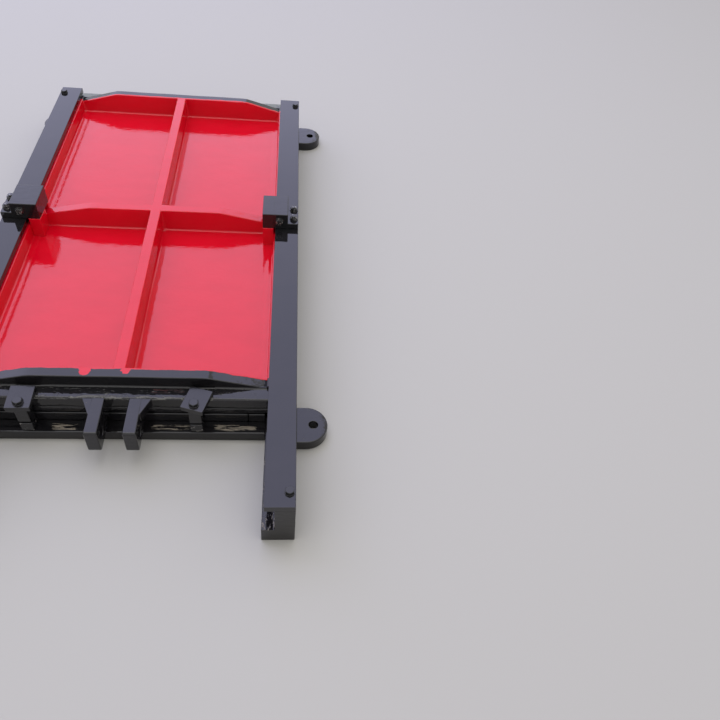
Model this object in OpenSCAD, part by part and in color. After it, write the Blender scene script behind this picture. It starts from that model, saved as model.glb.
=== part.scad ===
// Wall-mounted cast-iron sluice gate, lying on its mounting face as it is stored.
// X runs across the gate, Y along its guides and Z away from the wall.
// The top of the gate is at -Y, so the leaf opens towards -Y.
// The origin is the middle of the four anchor holes, on the mounting face.

/* [Leaf] */
// Width of the leaf over its side ribs
leaf_w = 1096; // [1040:2:1300]
// How far the closed leaf stands out past the guides' bottom end
leaf_past = 33; // [20:1:60]
// How far the leaf overlaps the waterway on each side
side_overlap = 98; // [90:1:130]
// How far the leaf overlaps the waterway at its top and bottom
end_overlap = 113.5; // [100:0.5:150]
// Thickness of the leaf plate
plate_t = 26; // [18:1:32]
// Distance of the closed leaf's top edge from the guides' top end
leaf_drop = 450; // [400:5:700]
// Depth of the thick bars along the leaf's top and bottom edges
edge_bar_l = 55; // [40:1:70]
// Height of those bars above the plate
edge_bar_h = 51; // [35:1:60]

/* [Ribs] */
// Thickness of every stiffening rib
rib_t = 43; // [25:1:55]
// Height of the ribs above the plate at mid-width
rib_h = 102; // [80:1:120]
// Height of the ribs above the plate at their low ends
rib_end_h = 52; // [35:1:56]
// Level crest of the top rib
top_crest_w = 610; // [300:10:800]
// Level crest of the middle rib
middle_crest_w = 550; // [300:10:800]
// Level crest of the bottom rib
bottom_crest_w = 675; // [300:10:800]
// Distance of the middle rib's middle below the wedge brackets' middle
middle_rib_off = 34; // [20:1:40]
// Width of the ribs along the leaf's sides
side_rib_w = 32; // [24:1:40]
// Radius of the cast fillets where ribs meet the plate
fillet_r = 8; // [4:1:12]

/* [Guides] */
// Length of the two guides
rail_l = 2494; // [2300:2:2900]
// Height of the guides from the wall to the cover strips' face
rail_h = 216; // [205:1:240]
// Width of the cover strips that keep the leaf in its grooves
strip_w = 100; // [90:1:120]
// Thickness of the cover strips
strip_t = 25; // [16:1:28]
// Width of the solid side of each guide
web_w = 66; // [56:1:80]
// Width of each guide's foot
foot_w = 110; // [100:1:120]
// Height of each guide's foot
foot_h = 70; // [60:1:80]
// Running clearance between leaf and guides
guide_clear = 9; // [5:1:12]
// Clearance between the leaf's side ribs and the cover strips
strip_clear = 5; // [5:1:9]
// Distance of the cover strips' end bolts from the ends
end_bolt_in = 56; // [45:1:90]
// Distance of the cover strips' bolts from the outer edge
bolt_inset = 20; // [19:1:30]

/* [Frame] */
// Thickness of the frame's back flange and of the anchor ears
flange_t = 46; // [30:1:55]
// How far the back flange stands out above and below the frame
flange_out = 54; // [40:1:80]
// Height of the frame's seat above the wall
seat_h = 88; // [76:1:96]
// Width of the sealing strips
seal_w = 30; // [20:1:40]
// Thickness of each sealing strip
seal_t = 4; // [3:0.5:6]
// Gap between the two sealing faces when closed
seal_gap = 0.3; // [0.2:0.1:0.5]
// Distance of the sealing strips from the opening's edge
seal_inset = 14; // [8:1:18]

/* [Anchors] */
// Distance of the anchor holes outside the guides
anchor_out = 65; // [50:1:90]
// Distance of the upper anchor holes from the guides' top end
anchor_drop = 438; // [400:2:600]
// Distance of the lower anchor holes from the guides' bottom end
anchor_rise = 64; // [40:1:120]
// Diameter of the anchor holes
anchor_hole_d = 34; // [22:1:40]
// Half width of the round-nosed anchor ears
ear_r = 80; // [65:1:100]
// Anchor hole's distance outside the middle of the ear's round nose
ear_hole_out = 27; // [10:1:30]

/* [Wedges] */
// Width of the wedge brackets' block
bracket_w = 110; // [100:1:120]
// Length of the wedge brackets along the guides
bracket_l = 138; // [120:2:180]
// Height of the wedge brackets above the cover strips
bracket_h = 74; // [50:1:90]
// Distance of the brackets' middle from the guides' top end
bracket_drop = 1441; // [1300:1:1500]
// Overhang of each wedge bracket over the leaf
bracket_over = 55; // [40:1:60]
// Thickness of the brackets' bolting flange
bracket_flange_t = 28; // [14:1:34]
// Spacing of the brackets' bolts
bracket_bolt_pitch = 64; // [50:1:80]
// Slope of the wedge faces, in degrees
wedge_angle = 4; // [3:0.5:6]
// Gap between the wedge faces when closed
wedge_gap = 0.3; // [0.2:0.1:0.5]
// Side clearance between the leaf's wedge blocks and the cover strips
wedge_side_clear = 7; // [5:1:9]

/* [Lifting lugs] */
// Width of each lifting lug
lug_w = 45; // [30:1:60]
// Clear gap between the lifting lugs
lug_gap = 82; // [60:1:120]
// Length of the lifting lugs beyond the leaf's top edge
lug_l = 150; // [120:5:200]
// Depth of the lifting lugs
lug_h = 104; // [90:1:110]
// Diameter of the pin hole through the lifting lugs
lug_hole_d = 40; // [30:1:50]
// Distance of the pin hole from the lugs' free end
lug_hole_in = 47; // [45:1:60]
// Width of the gusset beside each lug
gusset_w = 32; // [20:1:50]
// Length of the gusset beside each lug
gusset_l = 82; // [60:1:110]
// Thickness of the gussets
gusset_t = 40; // [20:1:60]

/* [Transport clamps] */
// Width of the clamp plates
clamp_w = 82; // [74:1:96]
// Length of the clamp plates
clamp_l = 98; // [86:1:108]
// How far the clamp plates lap over the leaf's top bar
clamp_lap = 37; // [20:1:40]
// Thickness of the clamp plates
clamp_t = 20; // [12:1:26]
// Distance of the right clamp from the gate's middle
clamp_right_x = 268; // [220:1:330]
// Distance of the left clamp from the gate's middle
clamp_left_x = 314; // [220:1:360]
// Turn of the right clamp plate, in degrees
clamp_right_turn = -17; // [-25:1:25]
// Turn of the left clamp plate, in degrees
clamp_left_turn = 1.5; // [-25:0.5:25]
// Width and depth of the clamp posts
post_w = 44; // [30:1:48]
// Clearance between the clamp posts and the leaf's edge
post_clear = 5; // [5:1:8]
// Distance of the clamp bolts from the posts' middle, away from the leaf
clamp_bolt_out = 9; // [0:1:12]

/* [Bolts] */
// Thread diameter of the cover strips' bolts
bolt_d = 18; // [12:1:20]
// Width across flats of their heads
bolt_af = 27; // [19:1:30]
// Height of all the bolt heads
bolt_head_h = 11; // [7:1:13]
// Clearance of the bolts in their holes
bolt_clear = 1; // [0.5:0.5:2]
// Diameter of the cover strips' washers
washer_d = 34; // [26:1:36]
// Thickness of all the washers
washer_t = 3; // [2:0.5:4]
// Thread diameter of the brackets' and clamps' bolts
large_bolt_d = 20; // [16:1:22]
// Width across flats of their nuts and heads
large_bolt_af = 30; // [24:1:32]
// Diameter of their washers
large_washer_d = 37; // [30:1:38]

/* [Hidden] */
round_fn = 64;
fillet_fn = 32;
eps = 0.5;
red = [0.72, 0.03, 0.05];
black = [0.09, 0.09, 0.10];
bronze = [0.62, 0.45, 0.22];
// Places along the gate
anchor_pitch_y = rail_l - anchor_drop - anchor_rise;
rail_top_y = -anchor_drop - anchor_pitch_y / 2;
leaf_top_y = rail_top_y + leaf_drop;
leaf_bottom_y = rail_top_y + rail_l + leaf_past;
opening_top_y = leaf_top_y + end_overlap;
opening_bottom_y = leaf_bottom_y - end_overlap;
rib_top_y = leaf_top_y + edge_bar_l;
rib_bottom_y = leaf_bottom_y - edge_bar_l - rib_t;
bracket_mid_y = rail_top_y + bracket_drop;
rib_middle_y = bracket_mid_y + middle_rib_off - rib_t / 2;
// Places across the gate
opening_x = leaf_w / 2 - side_overlap;
web_in_x = leaf_w / 2 + guide_clear;
web_out_x = web_in_x + web_w;
strip_in_x = web_out_x - strip_w;
foot_in_x = web_out_x - foot_w;
bolt_x = web_out_x - bolt_inset;
side_rib_in_x = leaf_w / 2 - side_rib_w;
anchor_x = web_out_x + anchor_out;
ear_nose_x = anchor_x - ear_hole_out;
bracket_in_x = strip_in_x - bracket_over;
lug_mid_x = (lug_gap + lug_w) / 2;
// Levels above the wall
leaf_back_z = seat_h + 2 * seal_t + seal_gap;
leaf_face_z = leaf_back_z + plate_t;
edge_bar_z = leaf_face_z + edge_bar_h;
strip_z = rail_h - strip_t;
side_rib_z = strip_z - strip_clear;
bracket_z = rail_h + bracket_h;
post_top_z = seat_h + seal_t + seal_gap - post_clear;
// The wedge face is level with the cover strips' face at the bracket's top end
wedge_drop = bracket_l * tan(wedge_angle);
clamp_mid_y = leaf_top_y + clamp_lap - clamp_l / 2;
post_mid_y = leaf_top_y - post_clear - post_w / 2;
clamp_bolt_y = post_mid_y - clamp_bolt_out;
clamp_bolt_off = clamp_mid_y - clamp_bolt_y;

// Places its children on the left (-1) or right (+1) side of the gate
module on_side(side) {
    mirror([side < 0 ? 1 : 0, 0, 0])
        children();
}

// A block given by its lowest and highest corners
module block(low, high) {
    translate(low)
        cube(high - low);
}

// A concave fillet of length l along +Y, in the corner that opens towards +X and +Z
module fillet_y(l) {
    translate([0, l, 0])
        rotate([90, 0, 0])
            linear_extrude(l)
                difference() {
                    square(fillet_r);
                    translate([fillet_r, fillet_r])
                        circle(fillet_r, $fn = fillet_fn);
                }
}

// A hexagon bolt head or nut on its washer, with a shank of diameter d below the face
module hex_bolt(shank_l, d = bolt_d, af = bolt_af, disc_d = washer_d) {
    cylinder(h = washer_t, d = disc_d, $fn = round_fn);
    translate([0, 0, washer_t])
        cylinder(h = bolt_head_h, d = af / cos(30), $fn = 6);
    translate([0, 0, -shank_l])
        cylinder(h = shank_l + eps, d = d, $fn = round_fn);
}

// The clearance hole of a bolt of diameter d, down from z
module bolt_hole(z, depth, d = bolt_d) {
    translate([0, 0, z - depth])
        cylinder(h = depth + eps, d = d + bolt_clear, $fn = round_fn);
}

// Frame

module frame_side(side) {
    color(black)
        on_side(side)
            block([opening_x, leaf_top_y, 0], [foot_in_x, leaf_bottom_y, seat_h]);
}

module frame_top() {
    color(black) {
        block([-opening_x, leaf_top_y, 0], [opening_x, opening_top_y, seat_h]);
        block([-foot_in_x, leaf_top_y - flange_out, 0], [foot_in_x, leaf_top_y, flange_t]);
    }
}

module frame_sill() {
    color(black) {
        block([-opening_x, opening_bottom_y, 0], [opening_x, leaf_bottom_y, seat_h]);
        block([-foot_in_x, leaf_bottom_y, 0], [foot_in_x, leaf_bottom_y + flange_out, flange_t]);
    }
}

// Seals

// Two strips along the opening's sides, from z up
module seal_sides(z) {
    color(bronze)
        for (side = [-1, 1])
            on_side(side)
                block(
                    [opening_x + seal_inset, opening_top_y - seal_inset, z],
                    [opening_x + seal_inset + seal_w, opening_bottom_y + seal_inset, z + seal_t]
                );
}

// Two strips across the opening's top and bottom, from z up
module seal_ends(z) {
    reach = opening_x + seal_inset + seal_w;
    color(bronze) {
        block(
            [-reach, opening_top_y - seal_inset - seal_w, z],
            [reach, opening_top_y - seal_inset, z + seal_t]
        );
        block(
            [-reach, opening_bottom_y + seal_inset, z],
            [reach, opening_bottom_y + seal_inset + seal_w, z + seal_t]
        );
    }
}

// Guides

module guide(side) {
    color(black)
        on_side(side)
            difference() {
                union() {
                    block([foot_in_x, rail_top_y, 0], [web_out_x, rail_top_y + rail_l, foot_h]);
                    block([web_in_x, rail_top_y, 0], [web_out_x, rail_top_y + rail_l, strip_z]);
                }
                for (y = strip_bolt_ys())
                    translate([bolt_x, y, 0])
                        bolt_hole(strip_z, strip_t);
                for (y = bracket_bolt_ys())
                    translate([bolt_x, y, 0])
                        bolt_hole(strip_z, strip_t, large_bolt_d);
            }
}

function strip_bolt_ys() = [rail_top_y + end_bolt_in, rail_top_y + rail_l - end_bolt_in];

function bracket_bolt_ys() = [for (s = [-1, 1]) bracket_mid_y + s * bracket_bolt_pitch / 2];

module cover_strip(side) {
    color(black)
        on_side(side)
            difference() {
                block([strip_in_x, rail_top_y, strip_z], [web_out_x, rail_top_y + rail_l, rail_h]);
                for (y = strip_bolt_ys())
                    translate([bolt_x, y, 0])
                        bolt_hole(rail_h, strip_t + eps);
                for (y = bracket_bolt_ys())
                    translate([bolt_x, y, 0])
                        bolt_hole(rail_h, strip_t + eps, large_bolt_d);
            }
}

module strip_bolts(side) {
    color(black)
        on_side(side)
            for (y = strip_bolt_ys())
                translate([bolt_x, y, rail_h])
                    hex_bolt(2 * strip_t);
}

// Anchor ears

module anchor_ear(side, y) {
    color(black)
        on_side(side)
            difference() {
                union() {
                    block([web_out_x, y - ear_r, 0], [ear_nose_x, y + ear_r, flange_t]);
                    translate([ear_nose_x, y, 0])
                        intersection() {
                            cylinder(h = flange_t, r = ear_r, $fn = round_fn);
                            block([0, -ear_r, 0], [ear_r, ear_r, flange_t]);
                        }
                }
                translate([anchor_x, y, -eps])
                    cylinder(h = flange_t + 2 * eps, d = anchor_hole_d, $fn = round_fn);
            }
}

// Wedge brackets on the guides and wedge blocks on the leaf

// Outline of the wedge bracket's overhang seen from the side, in Y and Z
function overhang_points() = [
    [0, 0],
    [bracket_l, -wedge_drop],
    [bracket_l, bracket_h],
    [0, bracket_h]
];

module wedge_bracket(side) {
    low_y = bracket_mid_y - bracket_l / 2;
    color(black)
        on_side(side)
            difference() {
                union() {
                    translate([bracket_in_x, low_y, rail_h])
                        rotate([90, 0, 90])
                            linear_extrude(bracket_over - wedge_side_clear)
                                polygon(overhang_points());
                    block(
                        [strip_in_x - wedge_side_clear, low_y, rail_h],
                        [bracket_in_x + bracket_w, low_y + bracket_l, bracket_z]
                    );
                    block(
                        [bracket_in_x + bracket_w, low_y, rail_h],
                        [web_out_x, low_y + bracket_l, rail_h + bracket_flange_t]
                    );
                }
                for (y = bracket_bolt_ys())
                    translate([bolt_x, y, 0])
                        bolt_hole(rail_h + bracket_flange_t, bracket_flange_t + eps, large_bolt_d);
            }
}

module bracket_bolts(side) {
    color(black)
        on_side(side)
            for (y = bracket_bolt_ys())
                translate([bolt_x, y, rail_h + bracket_flange_t])
                    hex_bolt(bracket_flange_t + 2 * strip_t, large_bolt_d, large_bolt_af, large_washer_d);
}

module wedge_block(side) {
    low_y = bracket_mid_y - bracket_l / 2;
    base_h = rail_h - leaf_face_z;
    color(red)
        on_side(side)
            difference() {
                translate([bracket_in_x, low_y, leaf_face_z])
                    rotate([90, 0, 90])
                        linear_extrude(side_rib_in_x - bracket_in_x)
                            polygon([
                                [0, 0],
                                [bracket_l, 0],
                                [bracket_l, base_h - wedge_drop - wedge_gap],
                                [0, base_h - wedge_gap]
                            ]);
                rib_cut(rib_middle_y);
            }
}

// The space that a rib takes, cut out of what stands around it
module rib_cut(y) {
    block([-leaf_w, y, leaf_back_z], [leaf_w, y + rib_t, rail_h + bracket_h]);
}

// Clamp posts

module clamp_post(x) {
    color(black)
        block(
            [x - post_w / 2, post_mid_y - post_w / 2, flange_t],
            [x + post_w / 2, post_mid_y + post_w / 2, post_top_z]
        );
}

// Leaf

module leaf_plate() {
    color(red)
        block([-leaf_w / 2, leaf_top_y, leaf_back_z], [leaf_w / 2, leaf_bottom_y, leaf_face_z]);
}

module leaf_bar(y) {
    color(red)
        block(
            [-leaf_w / 2, y, leaf_face_z],
            [leaf_w / 2, y + edge_bar_l, edge_bar_z]
        );
}

// A rib across the leaf: level in the middle, falling straight to low ends
module cross_rib(y, crest_w) {
    end_x = side_rib_in_x;
    color(red)
        translate([0, y + rib_t, leaf_face_z])
            rotate([90, 0, 0])
                linear_extrude(rib_t)
                    polygon([
                        [-end_x, 0],
                        [end_x, 0],
                        [end_x, rib_end_h],
                        [crest_w / 2, rib_h],
                        [-crest_w / 2, rib_h],
                        [-end_x, rib_end_h]
                    ]);
}

// A rib along the leaf's middle, between two cross ribs
module upright_rib(low_y, high_y) {
    color(red) {
        block([-rib_t / 2, low_y, leaf_face_z], [rib_t / 2, high_y, leaf_face_z + rib_h]);
        for (side = [-1, 1])
            on_side(side)
                translate([rib_t / 2, low_y, leaf_face_z])
                    fillet_y(high_y - low_y);
    }
}

module side_rib(side) {
    color(red)
        on_side(side)
            block(
                [side_rib_in_x, rib_top_y, leaf_face_z],
                [leaf_w / 2, rib_bottom_y + rib_t, side_rib_z]
            );
}

module lifting_lug(side) {
    free_y = leaf_top_y - lug_l;
    out_x = lug_mid_x + lug_w / 2;
    hole_z = edge_bar_z - lug_h / 2;
    color(black)
        on_side(side)
            difference() {
                union() {
                    block(
                        [lug_mid_x - lug_w / 2, free_y, edge_bar_z - lug_h],
                        [out_x, leaf_top_y, edge_bar_z]
                    );
                    translate([0, 0, edge_bar_z - gusset_t])
                        linear_extrude(gusset_t)
                            polygon([
                                [out_x, leaf_top_y],
                                [out_x + gusset_w, leaf_top_y],
                                [out_x, leaf_top_y - gusset_l]
                            ]);
                }
                translate([lug_mid_x - lug_w / 2 - eps, free_y + lug_hole_in, hole_z])
                    rotate([0, 90, 0])
                        cylinder(h = lug_w + 2 * eps, d = lug_hole_d, $fn = round_fn);
            }
}

// Transport clamps

module clamp_plate(x, turn) {
    color(black)
        translate([x, clamp_bolt_y, edge_bar_z])
            rotate([0, 0, turn])
                difference() {
                    translate([-clamp_w / 2, clamp_bolt_off - clamp_l / 2, 0])
                        cube([clamp_w, clamp_l, clamp_t]);
                    bolt_hole(clamp_t, clamp_t + eps, large_bolt_d);
                }
}

module clamp_spacer(x) {
    color(black)
        translate([x, post_mid_y, 0])
            difference() {
                block([-post_w / 2, -post_w / 2, leaf_back_z], [post_w / 2, post_w / 2, edge_bar_z]);
                translate([0, -clamp_bolt_out, 0])
                    bolt_hole(edge_bar_z, edge_bar_h, large_bolt_d);
            }
}

module clamp_bolt(x) {
    color(black)
        translate([x, clamp_bolt_y, edge_bar_z + clamp_t])
            hex_bolt(clamp_t + edge_bar_h - 2 * eps, large_bolt_d, large_bolt_af, large_washer_d);
}

frame_side(-1);  // frame_side_left
frame_side(1);  // frame_side_right
frame_top();
frame_sill();
guide(-1);  // guide_left
guide(1);  // guide_right
cover_strip(-1);  // cover_strip_left
cover_strip(1);  // cover_strip_right
anchor_ear(-1, -anchor_pitch_y / 2);  // anchor_ear_top_left
anchor_ear(1, -anchor_pitch_y / 2);  // anchor_ear_top_right
anchor_ear(-1, anchor_pitch_y / 2);  // anchor_ear_bottom_left
anchor_ear(1, anchor_pitch_y / 2);  // anchor_ear_bottom_right
wedge_bracket(-1);  // wedge_bracket_left
wedge_bracket(1);  // wedge_bracket_right
bracket_bolts(-1);  // bracket_bolts_left
bracket_bolts(1);  // bracket_bolts_right
strip_bolts(-1);  // strip_bolts_left
strip_bolts(1);  // strip_bolts_right
seal_sides(seat_h);  // frame_seal_sides
seal_ends(seat_h);  // frame_seal_ends
clamp_post(-clamp_left_x);  // clamp_post_left
clamp_post(clamp_right_x);  // clamp_post_right
leaf_plate();
leaf_bar(leaf_top_y);  // leaf_top_bar
leaf_bar(leaf_bottom_y - edge_bar_l);  // leaf_bottom_bar
cross_rib(rib_top_y, top_crest_w);  // rib_top
cross_rib(rib_middle_y, middle_crest_w);  // rib_middle
cross_rib(rib_bottom_y, bottom_crest_w);  // rib_bottom
upright_rib(rib_top_y + rib_t, rib_middle_y);  // upright_rib_upper
upright_rib(rib_middle_y + rib_t, rib_bottom_y);  // upright_rib_lower
side_rib(-1);  // side_rib_left
side_rib(1);  // side_rib_right
wedge_block(-1);  // wedge_block_left
wedge_block(1);  // wedge_block_right
lifting_lug(-1);  // lifting_lug_left
lifting_lug(1);  // lifting_lug_right
seal_sides(seat_h + seal_t + seal_gap);  // leaf_seal_sides
seal_ends(seat_h + seal_t + seal_gap);  // leaf_seal_ends
clamp_plate(-clamp_left_x, clamp_left_turn);  // clamp_plate_left
clamp_plate(clamp_right_x, clamp_right_turn);  // clamp_plate_right
clamp_spacer(-clamp_left_x);  // clamp_spacer_left
clamp_spacer(clamp_right_x);  // clamp_spacer_right
clamp_bolt(-clamp_left_x);  // clamp_bolt_left
clamp_bolt(clamp_right_x);  // clamp_bolt_right
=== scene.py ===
"""Dresses a wall-mounted cast-iron sluice gate: a red leaf that slides between two black guides.

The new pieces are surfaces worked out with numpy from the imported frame's own boxes, in metres.
X runs across the gate, Y along its guides with the top of the gate at -Y, and Z away from the wall.
"""

from __future__ import annotations

import logging
import math
from collections.abc import Iterator
from dataclasses import dataclass, field, replace
from enum import Enum
from typing import Any

import bpy
import numpy as np
from mathutils import Euler, Matrix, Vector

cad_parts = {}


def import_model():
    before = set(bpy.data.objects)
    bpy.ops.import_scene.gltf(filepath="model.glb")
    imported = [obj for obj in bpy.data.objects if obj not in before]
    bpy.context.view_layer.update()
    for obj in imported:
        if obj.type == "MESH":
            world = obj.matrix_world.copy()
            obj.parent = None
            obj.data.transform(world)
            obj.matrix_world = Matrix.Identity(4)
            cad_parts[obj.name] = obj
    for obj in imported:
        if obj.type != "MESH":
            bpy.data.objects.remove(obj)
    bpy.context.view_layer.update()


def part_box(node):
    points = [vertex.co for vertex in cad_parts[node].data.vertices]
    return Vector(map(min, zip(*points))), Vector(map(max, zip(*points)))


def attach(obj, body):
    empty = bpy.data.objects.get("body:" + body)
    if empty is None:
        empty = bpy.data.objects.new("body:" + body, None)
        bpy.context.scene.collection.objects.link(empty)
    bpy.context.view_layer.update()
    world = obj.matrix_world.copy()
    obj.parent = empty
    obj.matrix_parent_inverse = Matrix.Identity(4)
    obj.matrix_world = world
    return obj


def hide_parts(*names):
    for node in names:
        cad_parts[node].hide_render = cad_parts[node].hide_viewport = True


log = logging.getLogger("sluice_gate")

Array = np.ndarray
Material = bpy.types.Material
Socket = bpy.types.NodeSocket
Pair = tuple[float, float]
Place = tuple[float, float, float]  # X, Y, Z or red, green, blue
QUARTER = math.pi / 2
SIDES = {"left": -1, "right": 1}
RIBS = ("top", "middle", "bottom")
FAR = 9.0  # farther from the middle than any piece reaches
SUNK = 0.002  # how far a form's foot goes into the one that carries it
ARC_STEPS = 5  # steps in a casting's quarter round
RING_POINTS = 48  # points round a turned part
SHARP_TURN = math.radians(38)  # edges that turn by more are shaded sharp
PAINT_EDGE = 0.002  # width over which one paint gives way to the other
WHITE = (1.0, 1.0, 1.0)
SKY = (0.54, 0.55, 1.0)


class Axis(Enum):
    """The direction along which a section is carried; the section keeps the other two."""

    X = 0
    Y = 1
    Z = 2


class Head(Enum):
    """What shows on top of a fixing's washer."""

    BOLT = "bolt"
    NUT = "nut"


class Slot(Enum):
    """Names of the material slots."""

    RED = "red_enamel"
    BLACK = "black_enamel"
    FIXINGS = "black_fixings"
    BRONZE = "bronze_seal"


# Shells: points and faces worked out as whole arrays


@dataclass
class Shell:
    """A closed mesh in the making.

    points holds a point to a row, quads four corner numbers to a row, and caps the rings that close its ends.
    """

    points: Array
    quads: Array
    caps: list[Array] = field(default_factory=list)

    def volume(self) -> float:
        """The enclosed volume: a sixth of the sum of a . (b x c) over the faces as triangles a, b, c."""
        parts = [self.quads[:, [0, 1, 2]], self.quads[:, [0, 2, 3]]]
        parts += [np.stack([np.full(len(c) - 2, c[0]), c[1:-1], c[2:]], 1) for c in self.caps]
        a, b, c = self.points[np.vstack(parts)].transpose(1, 0, 2)
        return float(np.einsum("ij,ij->", a, np.cross(b, c)) / 6)

    def outward(self) -> Shell:
        """The same shell with every face turned outwards, by the sign of its volume."""
        if self.volume() >= 0:
            return self
        return Shell(self.points, self.quads[:, ::-1], [cap[::-1] for cap in self.caps])

    def __add__(self, other: Shell) -> Shell:
        """Both shells as one mesh, the other's points after this one's."""
        shift = len(self.points)
        return Shell(
            np.vstack([self.points, other.points]),
            np.vstack([self.quads, other.quads + shift]),
            self.caps + [cap + shift for cap in other.caps],
        )

    def wavered(self, depth: float, length: float, seed: int) -> Shell:
        """The shell with its points shifted a little, as hand-moulded castings waver.

        Each coordinate gains depth times the mean of three sine waves of the point's own place, whose
        directions and phases are drawn from the seed.

        Args:
            depth: Largest shift, in metres.
            length: Typical wavelength, in metres.
            seed: Seed of the random draw.

        Returns:
            The shifted shell.
        """
        draw = np.random.default_rng(seed)
        waves = draw.normal(size=(3, 3, 3)) * 2 * math.pi / length
        phases = draw.uniform(0, 2 * math.pi, (3, 3))
        turns = np.einsum("cwd,nd->ncw", waves, self.points) + phases
        return Shell(self.points + depth * np.sin(turns).mean(-1), self.quads, self.caps)


def unit(vectors: Array) -> Array:
    """Vectors scaled to length 1."""
    return vectors / np.maximum(np.linalg.norm(vectors, axis=-1, keepdims=True), 1e-12)


def place(section: Array, level: Array | float, axis: Axis) -> Array:
    """Puts a section's two coordinates and its level along an axis into X, Y, Z order.

    Args:
        section: Points in the plane across the axis, two coordinates each.
        level: Levels along the axis, which broadcast with the section's points.
        axis: The axis of the levels.

    Returns:
        The points in space.
    """
    across = [k for k in range(3) if k != axis.value]
    points = np.empty((*np.broadcast_shapes(section.shape[:-1], np.shape(level)), 3))
    points[..., across] = section
    points[..., axis.value] = level
    return points


def carry(rings: Array, loop: bool = False) -> Shell:
    """Joins closed rings of points into one shell.

    The surface is point(i, j), place j round the section at ring i of its path. Each cell of that grid is a
    face, and the two end rings are capped unless the path is a loop.

    Args:
        rings: Array of ring, place round the ring, and coordinate.
        loop: Whether the last ring joins the first.

    Returns:
        A closed shell whose faces point outwards.
    """
    number = np.arange(rings.shape[0] * rings.shape[1]).reshape(rings.shape[:2])
    start = number if loop else number[:-1]
    after = np.roll(number, -1, 0) if loop else number[1:]
    cells = np.stack([start, np.roll(start, -1, 1), np.roll(after, -1, 1), after], -1)
    caps = [] if loop else [number[0][::-1], number[-1]]
    return Shell(rings.reshape(-1, 3), cells.reshape(-1, 4), caps).outward()


def rectangle(low: Pair, high: Pair) -> list[Pair]:
    """The four corners of a rectangle, in order."""
    return [(low[0], low[1]), (high[0], low[1]), (high[0], high[1]), (low[0], high[1])]


def rounded(corners: list[Pair], radius: float | list[float], steps: int = 4) -> Array:
    """Rounds the corners of a closed outline.

    With p a corner, u and v the unit vectors along its two sides and h half the angle between them, the arc's
    centre is p + (u + v) / |u + v| * r / sin h, and the arc runs from p + u * r / tan h to p + v * r / tan h.

    Args:
        corners: The outline's corners.
        radius: One radius, or one for each corner.
        steps: Points on each arc.

    Returns:
        The rounded outline, a point to a row.
    """
    at = np.asarray(corners, float)
    radii = np.broadcast_to(np.asarray(radius, float), len(at))[:, None]
    u = unit(np.roll(at, 1, 0) - at)
    v = unit(np.roll(at, -1, 0) - at)
    half = np.arccos(np.clip((u * v).sum(1, keepdims=True), -1, 1)) / 2
    centre = at + unit(u + v) * radii / np.sin(half)
    first = at + u * radii / np.tan(half) - centre
    last = at + v * radii / np.tan(half) - centre
    turn = (math.pi - 2 * half)[:, None]
    share = np.linspace(0, 1, steps)[None, :, None]
    arc = (np.sin((1 - share) * turn) * first[:, None] + np.sin(share * turn) * last[:, None]) / np.sin(turn)
    return (centre[:, None] + arc).reshape(-1, 2)


def divided(outline: Array, spacing: float) -> Array:
    """Divides the long sides of a closed outline.

    Side k becomes p + (q - p) * i / n for i below n, n being its length over the spacing, rounded up.

    Args:
        outline: The outline, a point to a row.
        spacing: Largest distance between two points.

    Returns:
        The divided outline.
    """
    after = np.roll(outline, -1, 0)
    parts = np.maximum(np.ceil(np.linalg.norm(after - outline, axis=1) / spacing), 1).astype(int)
    side = np.repeat(np.arange(len(outline)), parts)
    step = np.arange(len(side)) - np.repeat(np.cumsum(parts) - parts, parts)
    return outline[side] + (after - outline)[side] * (step / parts[side])[:, None]


def drawn_in(outline: Array, depths: Array) -> Array:
    """Draws a closed outline in.

    A point p moves to p - d (a + b) / (1 + a . b), where a and b are the outward normals of the two sides
    that meet there, so that every side moves in by d.

    Args:
        outline: The outline, a point to a row.
        depths: How far in each of the new outlines lies.

    Returns:
        An outline for each depth.
    """
    side = unit(np.roll(outline, -1, 0) - outline)
    normal = np.stack([side[:, 1], -side[:, 0]], 1)
    before = np.roll(normal, 1, 0)
    x, y = outline.T
    turn = np.sign((x * np.roll(y, -1) - y * np.roll(x, -1)).sum())
    meet = turn * (before + normal) / (1 + (before * normal).sum(1, keepdims=True))
    return outline - depths[:, None, None] * meet


def quarter_round(radius: Array | float, steps: int = ARC_STEPS) -> tuple[Array, Array]:
    """The two distances r (1 - cos t) and r (1 - sin t) of a quarter circle, for t from 0 to 90 degrees."""
    t = np.linspace(0, QUARTER, steps + 1)
    return radius * (1 - np.cos(t)), radius * (1 - np.sin(t))


def prism(outline: Array, axis: Axis, low: float, high: float, edge: float, spacing: float = 0.0) -> Shell:
    """An outline carried straight along an axis, with both ends rounded.

    Towards an end its rings are drawn in by e (1 - cos t) and stand back from it by e (1 - sin t).

    Args:
        outline: Section across the axis.
        axis: Direction in which it is carried.
        low: Lowest level along the axis.
        high: Highest level along the axis.
        edge: Radius of the two ends' edges.
        spacing: Distance between rings and between points on long sides, or 0 for as few as the shape needs.

    Returns:
        The closed shell.
    """
    inset, back = quarter_round(edge, 3)
    between = np.empty(0)
    if spacing:
        outline = divided(outline, spacing)
        between = np.linspace(low + edge, high - edge, int((high - low) / spacing) + 2)[1:-1]
    depths = np.concatenate([inset[::-1], np.zeros_like(between), inset])
    level = np.concatenate([low + back[::-1], between, high - back])
    return carry(place(drawn_in(outline, depths), level[:, None], axis))


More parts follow.
